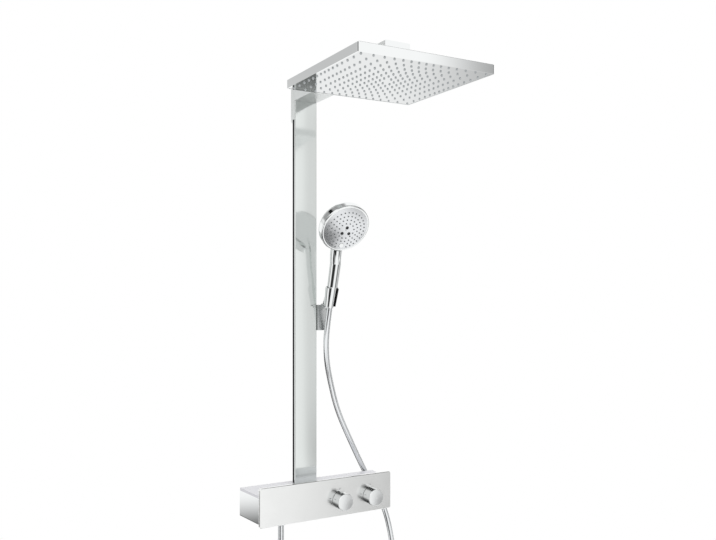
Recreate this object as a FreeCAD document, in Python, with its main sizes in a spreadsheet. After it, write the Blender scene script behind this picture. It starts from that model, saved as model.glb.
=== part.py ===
import FreeCAD, Part
import math
import operator
import os
import types

import Sketcher

# Wall-mounted shower system: a thermostatic mixer with a shelf, a flat column, an arm with a square
# overhead shower, and a handset on a sliding holder with its hose.
# X runs right along the wall, Y runs into the wall, Z runs up. The origin lies on the wall, halfway
# between the two water inlets, below the middle of the column.

Vector = FreeCAD.Vector

# Driving dimensions in millimetres and degrees
SIZES = {
    # mixer
    "wall_gap": 30,
    "plate_width": 342,
    "plate_height": 88.5,
    "plate_thick": 6,
    "plate_corner": 5,
    "plate_bevel": 0.8,
    "plate_shift": 22.5,
    "lip_height": 18.3,
    "shelf_height": 32.2,
    "shelf_thick": 6,
    "shelf_edge": 1.5,
    "casing_inset": 3,
    "casing_flare": 11,
    "casing_depth": 94.8,
    "casing_height": 60.7,
    "casing_wall": 2.5,
    "casing_corner": 4,
    "cover_thick": 2.5,
    "seat_gap": 0.2,
    # water inlets
    "inlet_spacing": 150,
    "inlet_thread_radius": 10.48,
    "inlet_thread_length": 16,
    "union_radius": 10.9,
    "union_collar_radius": 12.9,
    "union_collar_length": 7,
    "union_bore": 7.5,
    "union_nut_radius": 19,
    "union_nut_length": 16,
    "nut_lip": 3,
    "filter_thick": 2,
    "branch_radius": 13.2,
    "branch_length": 22,
    "branch_bore": 8,
    "check_valve_length": 10,
    "rosette_radius": 24,
    "rosette_wall": 2,
    "rosette_hole": 21,
    # valve
    "valve_depth": 68,
    "manifold_radius": 17,
    "manifold_bore": 10,
    "manifold_end": 22,
    "chamber_radius": 16,
    "chamber_bore": 13,
    "cartridge_fit": 0.2,
    "cartridge_depth": 8,
    "cartridge_nut_length": 7,
    "nose_radius": 9,
    "nose_gap": 0.5,
    "spindle_radius": 4,
    "spindle_fit": 0.05,
    "spindle_seat": 12,
    # knobs
    "knob_inset": 57.5,
    "knob_spacing": 82,
    "knob_radius": 19.5,
    "knob_length": 29,
    "knob_gap": 1,
    "knob_wall": 2.2,
    "knob_cap": 4,
    "knob_edge": 1.2,
    "knob_crown": 1.4,
    "knob_boss_radius": 7.5,
    "knob_boss_setback": 3,
    "button_radius": 3.5,
    "button_fit": 0.08,
    "button_length": 8.5,
    "button_proud": 0.8,
    "button_setback": 9,
    # hose outlet
    "outlet_x": -69,
    "outlet_boss_radius": 13,
    "outlet_boss_length": 26,
    "outlet_flange_radius": 15,
    "outlet_flange_thick": 2.5,
    "nipple_radius": 10.3,
    "nipple_bore": 6.5,
    "nipple_length": 9,
    "hose_nut_radius": 12.5,
    "hose_nut_length": 19,
    "washer_thick": 2,
    "washer_bore": 5,
    # column
    "column_front": 60,
    "panel_width": 57,
    "panel_thick": 5,
    "panel_edge": 1.5,
    "panel_crown": 0.6,
    "carrier_width": 56,
    "carrier_depth": 11,
    "carrier_web": 2.5,
    "carrier_flange": 5,
    "groove_depth": 3,
    "groove_width": 5,
    "groove_setback": 3,
    "pipe_radius": 6.5,
    "pipe_bore": 5,
    "pipe_gap": 0.3,
    "pipe_hole_gap": 0.5,
    "pipe_socket": 12,
    "riser_pad_width": 28,
    "riser_pad_top": 20,
    "clip_height": 16,
    "clip_wall": 3,
    "clip_setback": 135,
    # arm and wall bracket
    "arm_height": 33,
    "arm_underside": 942.5,
    "arm_wall": 3,
    "arm_edge": 1.5,
    "arm_past_head": 40,
    "leg_depth": 20.5,
    "leg_height": 44,
    "cap_thick": 3,
    "cap_plug": 5,
    "elbow_width": 24,
    "elbow_length": 22,
    "elbow_height": 24,
    "feed_length": 46,
    "feed_width": 26,
    "bracket_width": 40,
    "bracket_foot": 22,
    "bracket_height": 40,
    "flange_width": 24,
    "flange_height": 72,
    "flange_thick": 5,
    "flange_corner": 5,
    "flange_hole_spacing": 52,
    "flange_hole_radius": 2.75,
    "screw_recess_radius": 5,
    "screw_grip": 8,
    "arm_bolt_spacing": 28,
    "arm_bolt_radius": 2.5,
    "arm_bolt_length": 24,
    "bolt_head_radius": 4.5,
    "bolt_head_height": 4,
    "bolt_fit": 0.25,
    # overhead shower
    "head_size": 300,
    "head_height": 17.8,
    "head_reach": 428.4,
    "head_gap": 17.7,
    "head_wall": 3,
    "head_roof": 3,
    "head_corner": 4,
    "head_edge": 1,
    "spray_plate_thick": 2.5,
    "spray_plate_recess": 0.4,
    "gasket_width": 5,
    "gasket_thick": 1.5,
    "collar_radius": 24,
    "head_nipple_radius": 10.3,
    "head_nipple_gap": 0.2,
    "nozzle_root": 2.6,
    "nozzle_tip": 1.7,
    "nozzle_height": 2.2,
    "nozzle_rows": 7,
    "nozzle_border": 8.7,
    "nozzle_spread": 0.076,
    # holder on the column
    "slider_bottom": 395,
    "slider_width": 28,
    "slider_height": 61,
    "slider_proud": 4,
    "slider_gap": 0.5,
    "slider_edge": 3,
    "tongue_gap": 0.3,
    "release_width": 18,
    "release_height": 14,
    "release_rise": 8,
    "release_proud": 1.2,
    "release_depth": 7,
    "release_fit": 0.2,
    "holder_offset": 17.5,
    "holder_reach": 34.4,
    "holder_rise": 59,
    "holder_lean": 16,
    "sleeve_wall": 2.6,
    "sleeve_length": 46,
    "sleeve_slot": 21,
    "liner_slot": 15.6,
    "liner_wall": 1.8,
    "liner_gap": 0.3,
    "pivot_back": 19,
    "pivot_drop": 6,
    "knuckle_radius": 6,
    "knuckle_width": 14,
    "fin_top": 34,
    "ear_gap": 0.3,
    "ear_thick": 4.5,
    "pin_radius": 2.5,
    "pin_fit": 0.05,
    # handset
    "cone_bottom": 8.8,
    "cone_top": 12,
    "cone_drop": 3,
    "cone_length": 52,
    "handle_bottom": 12.5,
    "handle_top": 13.3,
    "handle_length": 56,
    "neck_radius": 13.9,
    "neck_back": 4.5,
    "neck_height": 88.5,
    "root_radius": 14.4,
    "root_front": 3,
    "root_height": 122,
    "socket_length": 13,
    "waterway_radius": 7.5,
    "waterway_bore": 5.5,
    "waterway_length": 70,
    "face_front": 27,
    "face_rise": 144.5,
    "face_tilt": 18,
    "face_radius": 54.5,
    "face_thick": 3,
    "face_crown": 5,
    "rim_radius": 60,
    "rim_depth": 13,
    "rim_edge": 3,
    "rim_gap": 0.2,
    "back_depth": 26,
    "back_edge": 11,
    "back_crown": 4,
    "chamber_depth": 9,
    "chamber_wall": 4.5,
    "select_drop": 43,
    "select_radius": 6,
    "select_fit": 0.2,
    "select_proud": 3.4,
    "select_edge": 0.8,
    "select_length": 5.5,
    "spray_first_ring": 19.5,
    "spray_ring_pitch": 9,
    "spray_drop": 3,
    "spray_root": 1.9,
    "spray_tip": 1.4,
    "spray_height": 1.2,
    "jet_ring": 10.2,
    "jet_drop": 4.5,
    "jet_radius": 3.8,
    "jet_proud": 0.7,
    # hose
    "hose_radius": 7,
}

# The hose hangs from the conical nut, passes behind the right end of the mixer and comes back up to
# the outlet: points of its route, chosen by hand. A stretch ends halfway to the next one's first point.
HOSE_ROUTE = {
    "hose_at_handset": [
        (46, -93.6, 451.1),
        (46, -82.6, 412.6),
        (49, -67.5, 365.5),
    ],
    "hose_at_holder": [
        (60, -50.5, 316),
        (79, -33.5, 264.5),
    ],
    "hose_hanging": [
        (105.5, -19, 191),
        (145.5, -14, 111),
        (189, -12, 27),
        (220.5, -11.5, -26),
        (249, -15, -77),
        (263.5, -26, -157.5),
        (263, -37, -240),
        (248, -46, -320),
        (214, -53, -393),
        (158, -58, -446),
    ],
    "hose_to_outlet": [
        (92, -62, -468),
        (26, -65, -446),
        (-28, -67, -393),
        (-58, -68, -320),
        (-69, -68, -240),
        (-69.5, -68, -150),
        (-69, -68, -58),
    ],
}
RUN_SHARE = 0.45
NOZZLE_SIDES = 6
JET_COUNT = 3
SPRAY_RING_COUNTS = (12, 18, 24, 30)
CLIP_COUNT = 3

doc = FreeCAD.newDocument("shower_system")
sheet = doc.addObject("Spreadsheet::Sheet", "dims")
SIGNS = {"+": operator.add, "-": operator.sub, "*": operator.mul, "/": operator.truediv}


class Size:
    """A length or angle: the expression that drives it and its value."""

    def __init__(self, text, value):
        self.text = text
        self.value = value

    def __add__(self, other):
        return combine(self, "+", other)

    def __radd__(self, other):
        return combine(other, "+", self)

    def __sub__(self, other):
        return combine(self, "-", other)

    def __rsub__(self, other):
        return combine(other, "-", self)

    def __mul__(self, other):
        return combine(self, "*", other)

    def __rmul__(self, other):
        return combine(other, "*", self)

    def __truediv__(self, other):
        return combine(self, "/", other)

    def __neg__(self):
        return combine(0, "-", self)


def as_size(thing):
    return thing if isinstance(thing, Size) else Size(str(thing), float(thing))


def combine(left, sign, right):
    left = as_size(left)
    right = as_size(right)
    return Size("(%s %s %s)" % (left.text, sign, right.text), SIGNS[sign](left.value, right.value))


def sine(angle):
    return Size("sin(%s * 1 deg)" % angle.text, math.sin(math.radians(angle.value)))


def cosine(angle):
    return Size("cos(%s * 1 deg)" % angle.text, math.cos(math.radians(angle.value)))


def dome_radius(edge, crown):
    """The radius of a dome that rises by its crown over a round edge."""
    return (edge * edge + crown * crown) / (2 * crown)


def fill_sheet():
    for row, (name, value) in enumerate(SIZES.items(), start=1):
        sheet.set("A%d" % row, name)
        sheet.set("B%d" % row, str(value))
        sheet.setAlias("B%d" % row, name)
    doc.recompute()
    sizes = {name: Size("dims." + name, float(value)) for name, value in SIZES.items()}
    return types.SimpleNamespace(**sizes)


d = fill_sheet()

# Places that several pieces share
plate_left = d.plate_shift - d.plate_width / 2
plate_right = d.plate_shift + d.plate_width / 2
plate_top = d.shelf_height + d.lip_height
plate_bottom = plate_top - d.plate_height
plate_back_y = -(d.wall_gap + d.casing_depth)
plate_front_y = plate_back_y - d.plate_thick
diverter_x = plate_right - d.knob_inset
temperature_x = diverter_x - d.knob_spacing
casing_left = plate_left + d.casing_inset
casing_right = plate_right - d.casing_inset
casing_top = d.shelf_height - d.shelf_thick
casing_bottom = casing_top - d.casing_height
valve_y = -d.valve_depth
chamber_end_y = plate_back_y + d.casing_wall + d.cartridge_nut_length
panel_back_y = -(d.column_front - d.panel_thick)
carrier_back_y = panel_back_y + d.carrier_depth
pipe_y = panel_back_y + d.carrier_web + d.pipe_gap + d.pipe_radius
leg_back_y = panel_back_y + d.leg_depth
leg_bottom = d.arm_underside - d.leg_height
arm_top = d.arm_underside + d.arm_height
arm_end_y = -(d.head_reach + d.arm_past_head)
arm_inside_bottom = d.arm_underside + d.arm_wall
bracket_z = d.arm_underside - d.leg_height / 2
head_y = -d.head_reach
head_top = d.arm_underside - d.head_gap
head_underside = head_top - d.head_height
spray_face_z = head_underside + d.spray_plate_recess
spray_plate_edge = d.head_size / 2 - d.head_wall - d.seat_gap
inlet_x = d.inlet_spacing / 2
holder_x = d.panel_width / 2 + d.holder_offset
holder_y = -(d.column_front + d.holder_reach)
holder_z = d.slider_bottom + d.holder_rise
slider_left = d.panel_width / 2 + d.slider_gap
slider_front_y = -(d.column_front + d.slider_proud)
pivot_y = holder_y + d.pivot_back * cosine(d.holder_lean) + d.pivot_drop * sine(d.holder_lean)
pivot_z = holder_z + d.pivot_back * sine(d.holder_lean) - d.pivot_drop * cosine(d.holder_lean)
cone_slope = (d.cone_top - d.cone_bottom) / d.cone_length
handle_z = d.cone_length - d.cone_drop
washer_z = handle_z - d.socket_length - d.washer_thick
face_dome = dome_radius(d.face_radius, d.face_crown)


def bind(thing, name, size):
    thing.setExpression(name, as_size(size).text)


def bind_place(thing, x, y, z):
    for letter, size in (("x", x), ("y", y), ("z", z)):
        bind(thing, "Placement.Base." + letter, size)


# Sketches and features of a body

def new_body(label, x=0, y=0, z=0):
    body = doc.addObject("PartDesign::Body", label)
    bind_place(body, x, y, z)
    return body


def new_sketch(body, role, rise=0):
    sketch = body.newObject("Sketcher::SketchObject", body.Name + "_sketch")
    plane = next(item for item in body.Origin.OriginFeatures if item.Role == role)
    sketch.AttachmentSupport = [(plane, "")]
    sketch.MapMode = "FlatFace"
    bind(sketch, "AttachmentOffset.Base.z", rise)
    return sketch


def bind_constraint(sketch, kind, places, size):
    index = sketch.addConstraint(Sketcher.Constraint(kind, *places, size.value))
    sketch.setExpression("Constraints[%d]" % index, size.text)


def fix_point(sketch, geometry, end, x, y):
    bind_constraint(sketch, "DistanceX", (-1, 1, geometry, end), as_size(x))
    bind_constraint(sketch, "DistanceY", (-1, 1, geometry, end), as_size(y))


def arc_between(start, end, radius):
    """The arc of a circle between two points, and which of its ends is the start."""
    chord = end - start
    half = chord.Length / 2
    side = Vector(-chord.y, chord.x, 0).normalize() * math.copysign(1, radius)
    centre = (start + end) / 2 + side * math.sqrt(radius ** 2 - half ** 2)
    first, last = (start, end) if radius > 0 else (end, start)
    angles = [math.atan2(spot.y - centre.y, spot.x - centre.x) for spot in (first, last)]
    round_edge = Part.ArcOfCircle(Part.Circle(centre, Vector(0, 0, 1), abs(radius)), *angles)
    return round_edge, 1 if radius > 0 else 2


def outline(sketch, points):
    """A closed outline through points (x, y). A third size makes the edge after its point an arc of that
    radius, which bulges to the right of the way round, or to the left if the radius is negative."""
    first = sketch.GeometryCount
    spots = [Vector(as_size(point[0]).value, as_size(point[1]).value, 0) for point in points]
    count = len(points)
    starts = []
    for index, point in enumerate(points):
        start, end = spots[index], spots[(index + 1) % count]
        edge, start_end = Part.LineSegment(start, end), 1
        if len(point) == 3:
            edge, start_end = arc_between(start, end, as_size(point[2]).value)
        sketch.addGeometry(edge)
        starts.append(start_end)
    for index in range(count):
        following = (index + 1) % count
        sketch.addConstraint(Sketcher.Constraint("Coincident", first + index, 3 - starts[index],
                                                 first + following, starts[following]))
    for index, point in enumerate(points):
        fix_point(sketch, first + index, starts[index], point[0], point[1])
        if len(point) == 3:
            radius = as_size(point[2])
            bind_constraint(sketch, "Radius", (first + index,), radius if radius.value > 0 else -radius)
    return sketch


def rectangle(sketch, left, bottom, right, top):
    return outline(sketch, [(left, bottom), (right, bottom), (right, top), (left, top)])


def circle(sketch, x, y, radius):
    radius = as_size(radius)
    centre = Vector(as_size(x).value, as_size(y).value, 0)
    geometry = sketch.addGeometry(Part.Circle(centre, Vector(0, 0, 1), radius.value))
    fix_point(sketch, geometry, 3, x, y)
    bind_constraint(sketch, "Radius", (geometry,), radius)
    return sketch


def feature(body, kind, sketch, reverse=False):
    item = body.newObject("PartDesign::" + kind, body.Name + "_" + kind.lower())
    item.Profile = sketch
    item.Reversed = reverse
    return item


def pad(body, sketch, length, reverse=False, both_sides=False):
    item = feature(body, "Pad", sketch, reverse)
    bind(item, "Length", length)
    if both_sides:
        item.SideType = "Symmetric"
    return item


def pocket(body, sketch, length, reverse=False):
    item = feature(body, "Pocket", sketch, reverse)
    bind(item, "Length", length)
    return item


def pocket_through(body, sketch, reverse=False):
    item = feature(body, "Pocket", sketch, reverse)
    item.Type = "ThroughAll"
    return item


def revolve(body, sketch, kind="Revolution", axis="V_Axis"):
    item = feature(body, kind, sketch)
    item.ReferenceAxis = (sketch, [axis])
    item.Angle = 360
    return item


def loft(body, sketches):
    item = feature(body, "AdditiveLoft", sketches[0])
    item.Sections = [(sketch, [""]) for sketch in sketches[1:]]
    return item


def edge_names(item, wanted):
    doc.recompute()
    return ["Edge%d" % (index + 1) for index, edge in enumerate(item.Shape.Edges) if wanted(edge)]


def runs_along(axis):
    sides = [name for name in ("XLength", "YLength", "ZLength") if name[0] != axis]
    return lambda edge: all(getattr(edge.BoundBox, name) < 1e-6 for name in sides)


def lies_at(axis, level):
    low, high = axis + "Min", axis + "Max"
    return lambda edge: all(abs(getattr(edge.BoundBox, name) - level.value) < 1e-4 for name in (low, high))


def soften(body, base, wanted, size, kind="Fillet"):
    item = body.newObject("PartDesign::" + kind, body.Name + "_" + kind.lower())
    item.Base = (base, edge_names(base, wanted))
    bind(item, "Radius" if kind == "Fillet" else "Size", size)
    return item


# Round and boxed primitives

TURNS = {
    "z": FreeCAD.Rotation(),
    "-z": FreeCAD.Rotation(Vector(1, 0, 0), 180),
    "y": FreeCAD.Rotation(Vector(1, 0, 0), -90),
    "-y": FreeCAD.Rotation(Vector(1, 0, 0), 90),
    "x": FreeCAD.Rotation(Vector(0, 1, 0), 90),
}


def rod(name, radius, length, spot, along):
    item = doc.addObject("Part::Cylinder", name)
    item.Placement = FreeCAD.Placement(Vector(), TURNS[along])
    bind(item, "Radius", radius)
    bind(item, "Height", length)
    bind_place(item, *spot)
    return item


def hexagon(name, radius, length, spot, along):
    item = doc.addObject("Part::Prism", name)
    item.Polygon = 6
    item.Placement = FreeCAD.Placement(Vector(), TURNS[along])
    bind(item, "Circumradius", radius)
    bind(item, "Height", length)
    bind_place(item, *spot)
    return item


def block(name, low, high):
    item = doc.addObject("Part::Box", name)
    for side, start, end in zip(("Length", "Width", "Height"), low, high):
        bind(item, side, as_size(end) - start)
    bind_place(item, *low)
    return item


def fuse(name, items):
    item = doc.addObject("Part::MultiFuse", name)
    item.Shapes = items
    return item


def cut(name, base, tools):
    item = doc.addObject("Part::Cut", name)
    item.Base = base
    item.Tool = tools[0] if len(tools) == 1 else fuse(name + "_tools", tools)
    return item


def group(name, items):
    item = doc.addObject("Part::Compound", name)
    item.Links = items
    return item


def tube(name, radius, bore, length, spot, along):
    return cut(name, rod(name + "_outside", radius, length, spot, along),
               [rod(name + "_bore", bore, length, spot, along)])


# Mixer

def make_front_plate():
    body = new_body("front_plate", y=plate_back_y)
    face = rectangle(new_sketch(body, "XZ_Plane"), plate_left, plate_bottom, plate_right, plate_top)
    slab = pad(body, face, d.plate_thick)
    rounded = soften(body, slab, runs_along("Y"), d.plate_corner)
    soften(body, rounded, lies_at("Y", -d.plate_thick), d.plate_bevel, "Chamfer")
    holes = new_sketch(body, "XZ_Plane")
    for x in (temperature_x, diverter_x):
        circle(holes, x, 0, d.nose_radius + d.nose_gap)
    pocket_through(body, holes, reverse=True)


def casing_spread(y):
    """How far each side of the casing has spread at a depth, on its way to the wall."""
    return d.casing_flare * (y - plate_back_y) / d.casing_depth


def casing_outline(sketch, front_y, inset=0):
    front = casing_spread(front_y) - inset
    back = casing_spread(-d.wall_gap) - inset
    return outline(sketch, [(casing_left - front, front_y), (casing_right + front, front_y),
                            (casing_right + back, -d.wall_gap), (casing_left - back, -d.wall_gap)])


def make_casing():
    body = new_body("tablet_casing", z=casing_bottom)
    shell = pad(body, casing_outline(new_sketch(body, "XY_Plane"), plate_back_y), d.casing_height)
    soften(body, shell, lambda edge: lies_at("Z", as_size(0))(edge)
           and edge.BoundBox.YLength > d.casing_depth.value / 2, d.casing_corner)
    inside = casing_outline(new_sketch(body, "XY_Plane", d.casing_wall), plate_back_y + d.casing_wall,
                            d.casing_wall)
    pocket(body, inside, d.casing_height - 2 * d.casing_wall, reverse=True)
    front = new_sketch(body, "XZ_Plane")
    for x in (temperature_x, diverter_x):
        circle(front, x, -casing_bottom, d.chamber_radius + d.nose_gap)
    pocket_through(body, front, reverse=True)
    middle = d.casing_height / 2
    roof = circle(new_sketch(body, "XY_Plane", middle), 0, pipe_y, d.pipe_radius + d.pipe_hole_gap)
    pocket_through(body, roof, reverse=True)
    floor = circle(new_sketch(body, "XY_Plane", middle), d.outlet_x, valve_y,
                   d.outlet_boss_radius + d.nose_gap)
    pocket_through(body, floor)


def make_rear_cover():
    body = new_body("rear_cover", y=-d.wall_gap)
    inset = d.casing_wall + d.seat_gap
    side = inset - casing_spread(-d.wall_gap - d.cover_thick)
    face = rectangle(new_sketch(body, "XZ_Plane"), casing_left + side, casing_bottom + inset,
                     casing_right - side, casing_top - inset)
    pad(body, face, d.cover_thick)
    holes = new_sketch(body, "XZ_Plane")
    for x in (-inlet_x, inlet_x):
        circle(holes, x, 0, d.union_nut_radius + d.nose_gap)
    pocket_through(body, holes, reverse=True)


def make_shelf():
    body = new_body("shelf_panel", z=casing_top)
    slab = pad(body, casing_outline(new_sketch(body, "XY_Plane"), plate_back_y), d.shelf_thick)
    soften(body, slab, runs_along("Z"), d.shelf_edge)
    half = d.panel_width / 2 + d.seat_gap
    column_hole = rectangle(new_sketch(body, "XY_Plane"), -half, -d.column_front - d.seat_gap,
                            half, carrier_back_y + d.seat_gap)
    pocket_through(body, column_hole, reverse=True)
    pipe_hole = circle(new_sketch(body, "XY_Plane"), 0, pipe_y, d.pipe_radius + d.pipe_hole_gap)
    pocket_through(body, pipe_hole, reverse=True)


def make_valve_block():
    manifold_left = -(inlet_x + d.manifold_end)
    manifold_length = diverter_x + d.manifold_end - manifold_left
    chamber_length = valve_y - chamber_end_y
    outside = [rod("manifold", d.manifold_radius, manifold_length, (manifold_left, valve_y, 0), "x")]
    bores = [rod("manifold_channel", d.manifold_bore, manifold_length - 2 * d.casing_wall,
                 (manifold_left + d.casing_wall, valve_y, 0), "x")]
    for index, x in enumerate((-inlet_x, inlet_x)):
        outside.append(rod("inlet_branch_%d" % index, d.branch_radius, d.branch_length, (x, valve_y, 0), "y"))
        bores.append(rod("inlet_bore_%d" % index, d.branch_bore, d.branch_length, (x, valve_y, 0), "y"))
    for index, x in enumerate((temperature_x, diverter_x)):
        outside.append(rod("chamber_%d" % index, d.chamber_radius, chamber_length, (x, valve_y, 0), "-y"))
        bores.append(rod("chamber_bore_%d" % index, d.chamber_bore, chamber_length, (x, valve_y, 0), "-y"))
    outlet = (d.outlet_x, valve_y, 0)
    outside.append(rod("outlet_boss", d.outlet_boss_radius, d.outlet_boss_length, outlet, "-z"))
    bores.append(rod("outlet_bore", d.nipple_bore, d.outlet_boss_length, outlet, "-z"))
    half = d.riser_pad_width / 2
    socket_bottom = d.riser_pad_top - d.pipe_socket
    pad_back = pipe_y + d.pipe_radius + d.clip_wall
    outside.append(block("riser_pad", (-half, valve_y, 0), (half, pad_back, d.riser_pad_top)))
    bores.append(rod("riser_socket", d.pipe_radius, d.pipe_socket, (0, pipe_y, socket_bottom), "z"))
    bores.append(rod("riser_channel", d.pipe_bore, pipe_y - valve_y, (0, valve_y, socket_bottom), "y"))
    cut("valve_block", fuse("valve_casting", outside), bores)


def make_inlets():
    unions = []
    nuts = []
    filters = []
    valves = []
    rosettes = []
    filter_y = valve_y + d.branch_length
    collar_y = filter_y + d.filter_thick
    lip_y = collar_y + d.union_collar_length
    for side, x in (("left", -inlet_x), ("right", inlet_x)):
        stem = rod("union_stem_" + side, d.union_radius, -lip_y, (x, lip_y, 0), "y")
        thread = rod("union_thread_" + side, d.inlet_thread_radius, d.inlet_thread_length, (x, 0, 0), "y")
        collar = rod("union_collar_" + side, d.union_collar_radius, d.union_collar_length,
                     (x, collar_y, 0), "y")
        channel = rod("union_channel_" + side, d.union_bore, d.inlet_thread_length - collar_y,
                      (x, collar_y, 0), "y")
        unions.append(cut("union_" + side, fuse("union_form_" + side, [stem, thread, collar]), [channel]))
        nut_start = lip_y + d.nut_lip - d.union_nut_length
        hexed = hexagon("nut_hexagon_" + side, d.union_nut_radius, d.union_nut_length, (x, nut_start, 0), "y")
        threaded = rod("nut_thread_" + side, d.branch_radius, d.union_nut_length - d.nut_lip,
                       (x, nut_start, 0), "y")
        lip = rod("nut_lip_" + side, d.union_radius, d.union_nut_length, (x, nut_start, 0), "y")
        nuts.append(cut("nut_" + side, hexed, [threaded, lip]))
        filters.append(tube("filter_" + side, d.union_collar_radius, d.union_bore, d.filter_thick,
                            (x, filter_y, 0), "y"))
        valves.append(tube("check_valve_" + side, d.branch_bore, d.washer_bore, d.check_valve_length,
                           (x, filter_y - d.check_valve_length, 0), "y"))
        cup = rod("rosette_cup_" + side, d.rosette_radius, d.wall_gap, (x, -d.wall_gap, 0), "y")
        hollow = rod("rosette_hollow_" + side, d.rosette_radius - d.rosette_wall, d.wall_gap - d.rosette_wall,
                     (x, d.rosette_wall - d.wall_gap, 0), "y")
        mouth = rod("rosette_mouth_" + side, d.rosette_hole, d.wall_gap, (x, -d.wall_gap, 0), "y")
        rosettes.append(cut("rosette_" + side, cup, [hollow, mouth]))
    group("inlet_unions", unions)
    group("union_nuts", nuts)
    group("inlet_filters", filters)
    group("check_valves", valves)
    group("wall_rosettes", rosettes)


def make_cartridge(name, x):
    nose_end_y = plate_front_y
    start_y = valve_y - d.cartridge_depth
    barrel = rod(name + "_barrel", d.chamber_bore - d.cartridge_fit, start_y - chamber_end_y,
                 (x, start_y, 0), "-y")
    nose = rod(name + "_nose", d.nose_radius, chamber_end_y - nose_end_y, (x, chamber_end_y, 0), "-y")
    seat = rod(name + "_seat", d.spindle_radius + d.spindle_fit, chamber_end_y + d.spindle_seat - nose_end_y,
               (x, chamber_end_y + d.spindle_seat, 0), "-y")
    cut(name, fuse(name + "_form", [barrel, nose]), [seat])


def make_cartridge_nuts():
    rings = []
    for index, x in enumerate((temperature_x, diverter_x)):
        rings.append(tube("cartridge_ring_%d" % index, d.chamber_radius, d.nose_radius,
                          d.cartridge_nut_length, (x, chamber_end_y, 0), "-y"))
    group("cartridge_nuts", rings)


def make_spindle(name, x):
    knob_inside_y = plate_front_y - d.knob_gap - d.knob_length + d.knob_cap
    start_y = chamber_end_y + d.spindle_seat - d.spindle_fit
    rod(name, d.spindle_radius, start_y - knob_inside_y, (x, start_y, 0), "-y")


def make_knob(name, x):
    body = new_body(name, x, plate_front_y - d.knob_gap, 0)
    inside = d.knob_cap - d.knob_length
    cavity = d.knob_radius - d.knob_wall
    profile = outline(new_sketch(body, "YZ_Plane"), [
        (0, d.knob_radius), (0, cavity), (inside, cavity), (inside, d.knob_boss_radius),
        (-d.knob_boss_setback, d.knob_boss_radius), (-d.knob_boss_setback, d.spindle_radius),
        (inside, d.spindle_radius), (inside, 0),
        (-d.knob_length, 0, -dome_radius(d.knob_radius, d.knob_crown)),
        (d.knob_crown - d.knob_length, d.knob_radius),
    ])
    turned = revolve(body, profile, axis="H_Axis")
    soften(body, turned, lies_at("Y", d.knob_crown - d.knob_length), d.knob_edge)
    return body


def make_knobs():
    make_spindle("temperature_spindle", temperature_x)
    make_spindle("diverter_spindle", diverter_x)
    make_knob("diverter_knob", diverter_x)
    knob = make_knob("temperature_knob", temperature_x)
    hole = circle(new_sketch(knob, "XY_Plane", d.knob_boss_radius), 0, -d.button_setback,
                  d.button_radius + d.button_fit)
    pocket_through(knob, hole, reverse=True)
    button_top = d.knob_radius + d.button_proud
    rod("safety_button", d.button_radius, d.button_length,
        (temperature_x, plate_front_y - d.knob_gap - d.button_setback, button_top - d.button_length), "z")


def make_outlet():
    x, y = d.outlet_x, valve_y
    boss_end = -d.outlet_boss_length
    flange_z = casing_bottom - d.outlet_flange_thick
    nipple_end = flange_z - d.nipple_length
    stem = rod("nipple_stem", d.nipple_radius, boss_end - nipple_end, (x, y, nipple_end), "z")
    flange = rod("nipple_flange", d.outlet_flange_radius, d.outlet_flange_thick, (x, y, flange_z), "z")
    channel = rod("nipple_channel", d.nipple_bore, boss_end - nipple_end, (x, y, nipple_end), "z")
    cut("outlet_nipple", fuse("nipple_form", [stem, flange]), [channel])
    washer_low = nipple_end - d.washer_thick
    tube("hose_washer_lower", d.nipple_radius, d.washer_bore, d.washer_thick, (x, y, washer_low), "z")
    nut_low = flange_z - d.hose_nut_length
    form = hexagon("hose_nut_form", d.hose_nut_radius, d.hose_nut_length, (x, y, nut_low), "z")
    socket = rod("hose_nut_socket", d.nipple_radius, flange_z - washer_low, (x, y, washer_low), "z")
    channel = rod("hose_nut_channel", d.washer_bore, d.hose_nut_length, (x, y, nut_low), "z")
    cut("hose_nut_lower", form, [socket, channel])


# Column

def make_column():
    body = new_body("column_panel", z=casing_top)
    half = d.panel_width / 2
    edge_y = d.panel_crown - d.column_front
    face = outline(new_sketch(body, "XY_Plane"), [
        (-half, panel_back_y), (half, panel_back_y), (half, edge_y, -dome_radius(half, d.panel_crown)),
        (-half, edge_y)])
    panel = pad(body, face, d.arm_underside - casing_top)
    soften(body, panel, lambda edge: runs_along("Z")(edge) and lies_at("Y", edge_y)(edge), d.panel_edge)

    body = new_body("column_carrier", z=casing_top)
    half = d.carrier_width / 2
    inner = half - d.carrier_flange
    bed = half - d.groove_depth
    near = panel_back_y + d.groove_setback
    far = near + d.groove_width
    web = panel_back_y + d.carrier_web
    profile = outline(new_sketch(body, "XY_Plane"), [
        (-half, panel_back_y), (half, panel_back_y), (half, near), (bed, near), (bed, far), (half, far),
        (half, carrier_back_y), (inner, carrier_back_y), (inner, web), (-inner, web),
        (-inner, carrier_back_y), (-half, carrier_back_y), (-half, far), (-bed, far), (-bed, near),
        (-half, near),
    ])
    pad(body, profile, leg_bottom - casing_top)

    riser_low = d.riser_pad_top - d.pipe_socket
    riser_high = arm_inside_bottom + d.pipe_socket
    tube("riser_pipe", d.pipe_radius, d.pipe_bore, riser_high - riser_low, (0, pipe_y, riser_low), "z")
    clips = []
    reach = d.pipe_radius + d.clip_wall
    lowest = d.shelf_height + d.clip_setback
    highest = leg_bottom - d.clip_setback - d.clip_height
    for index in range(CLIP_COUNT):
        low = lowest + (highest - lowest) * (index / (CLIP_COUNT - 1))
        clip = block("clip_block_%d" % index, (-inner, web, low),
                     (inner, pipe_y + reach, low + d.clip_height))
        clips.append(cut("clip_%d" % index, clip,
                         [rod("clip_bore_%d" % index, d.pipe_radius, d.clip_height, (0, pipe_y, low), "z")]))
    group("pipe_clips", clips)


# Arm and wall bracket

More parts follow.
